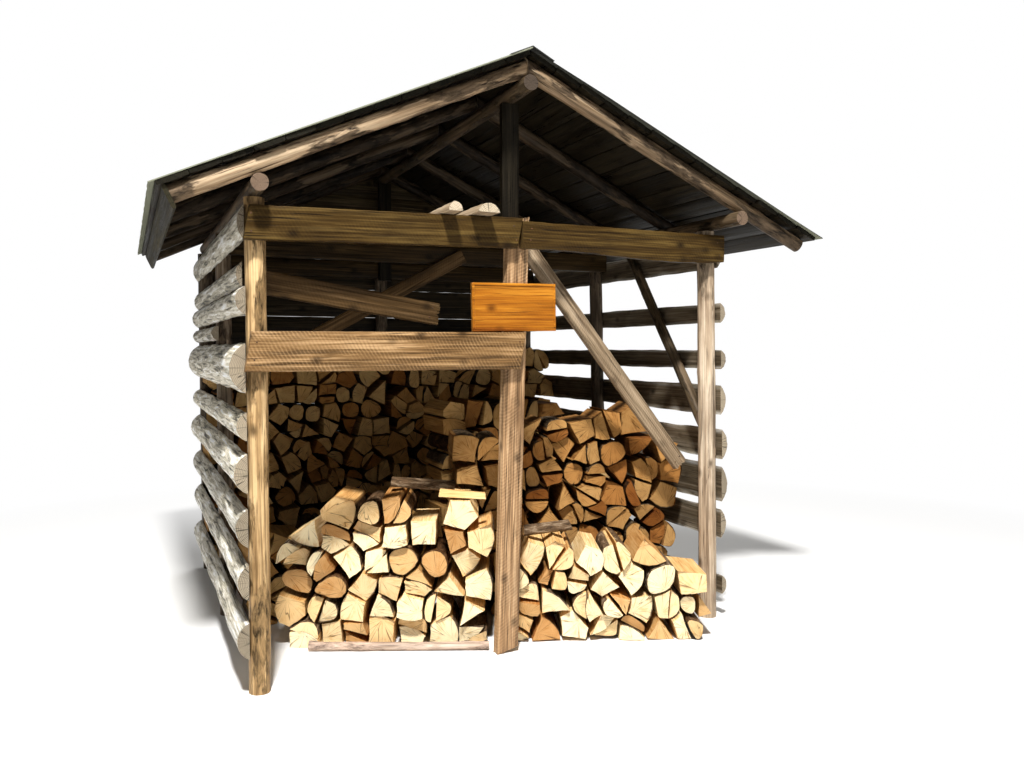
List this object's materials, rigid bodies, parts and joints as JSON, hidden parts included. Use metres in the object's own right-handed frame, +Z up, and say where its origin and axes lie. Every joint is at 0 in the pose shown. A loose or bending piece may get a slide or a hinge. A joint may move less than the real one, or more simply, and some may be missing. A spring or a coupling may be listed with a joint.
{
  "type": "log store",
  "caption": "Open-fronted pole-frame shed with slab side walls and a gable roof on pole rafters, stacked with split firewood.",
  "frame": {"origin": "on the ground at the foot of the front centre post", "axes": "+X along the open front to the viewer's right, +Y into the store, +Z up"},
  "size_m": [3.5793, 3.0543, 3.1025],
  "materials": {
    "peeled_post": "weathered, peeled",
    "plank_post": "rough sawn, weathered",
    "tie_plank": "rough sawn, dark with age",
    "inner_timber": "rough sawn",
    "rafter_pole": "peeled, with rests of bark",
    "plate_pole": "peeled, end grain showing",
    "roof_board": "rough sawn, greyed",
    "roof_sheet": "mineral-faced bitumen sheet, near black",
    "front_board": "rough sawn with saw marks",
    "sign_wood": "orange stain",
    "brace_plank": "weathered, pale",
    "slab_wood": "bark and weathered sapwood",
    "wall_board": "rough sawn, greyed",
    "eave_board": "thin board, greenish with age",
    "base_pole": "thin pole with pale bark",
    "split_log": "fresh split, pale ends and brown bark"
  },
  "bodies": {
    "root": {"front_left_post": "peeled_post", "front_right_post": "peeled_post", "middle_left_post": "peeled_post", "middle_right_post": "peeled_post", "back_left_post": "peeled_post", "back_center_post": "peeled_post", "back_right_post": "peeled_post", "front_center_post": "plank_post", "front_king_post": "plank_post", "back_king_post": "plank_post", "front_left_tie": "tie_plank", "front_right_tie": "tie_plank", "middle_tie": "inner_timber", "back_tie": "inner_timber", "inner_brace": "inner_timber", "loose_board": "inner_timber", "left_plate_pole": "plate_pole", "right_plate_pole": "plate_pole", "ridge_pole": "plate_pole", "right_wall_brace": "plate_pole", "left_rafters": "rafter_pole", "right_rafters": "rafter_pole", "left_roof_boards": "roof_board", "right_roof_boards": "roof_board", "left_roof_sheet": "roof_sheet", "right_roof_sheet": "roof_sheet", "ridge_cap": "roof_sheet", "lower_front_board": "front_board", "sign_board": "sign_wood", "front_brace": "brace_plank", "loft_slabs": "brace_plank", "left_wall_slabs": "slab_wood", "right_wall_slabs": "slab_wood", "back_wall_boards": "wall_board", "back_gable_boards": "wall_board", "left_eave_board": "eave_board", "base_pole": "base_pole", "loose_splits": "split_log", "firewood_back_left": "split_log", "firewood_back_right": "split_log", "firewood_middle_left": "split_log", "firewood_middle_right": "split_log", "firewood_inner_left": "split_log", "firewood_inner_right": "split_log", "firewood_front_left": "split_log", "firewood_front_right": "split_log"}
  },
  "joints": []
}
